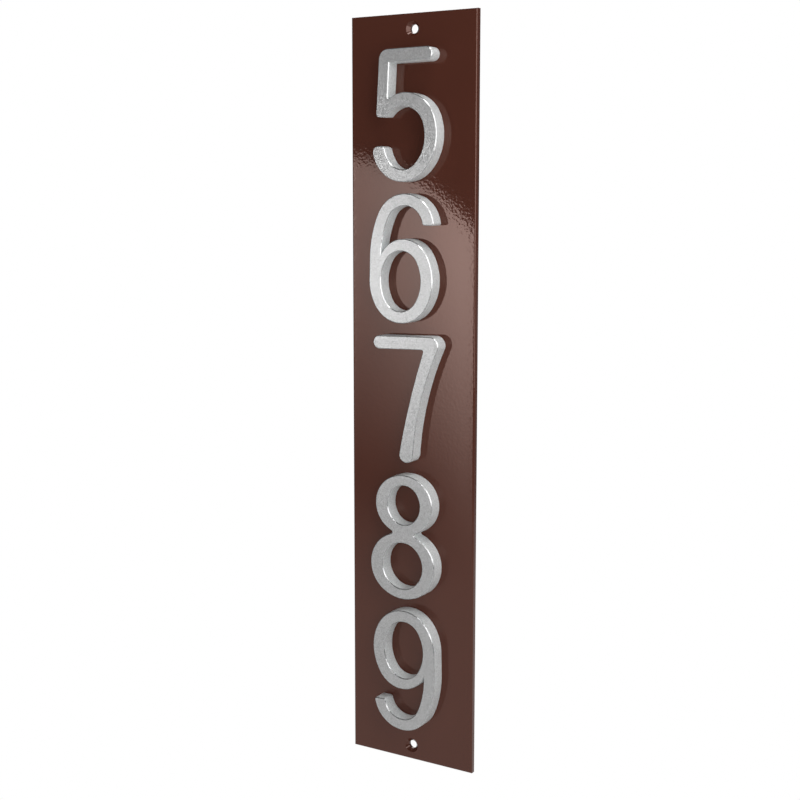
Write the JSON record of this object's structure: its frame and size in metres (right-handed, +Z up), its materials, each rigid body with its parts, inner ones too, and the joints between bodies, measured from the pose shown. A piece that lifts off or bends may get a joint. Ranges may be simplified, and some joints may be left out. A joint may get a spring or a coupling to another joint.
{
  "type": "house number plaque",
  "caption": "Tall narrow wall plaque: a flat painted metal plate with raised cast numerals stacked down its front and a countersunk screw hole near each end.",
  "frame": {"origin": "centre of the plate's back face, on the wall", "axes": "+Z up the plaque, +Y into the wall, -Y out of the plaque's front, +X to the right seen from the front"},
  "size_m": [0.1142, 0.0168, 0.6096],
  "materials": {
    "plate_coat": "gloss dark brown powder coat with a light orange peel",
    "numeral_silver": "satin metallic silver with a fine sparkle",
    "screw_steel": "zinc-plated"
  },
  "bodies": {
    "root": {"back_plate": "plate_coat", "numeral_five": "numeral_silver", "numeral_six": "numeral_silver", "numeral_seven": "numeral_silver", "numeral_eight": "numeral_silver", "numeral_nine": "numeral_silver", "numeral_screws": "screw_steel"}
  },
  "joints": []
}
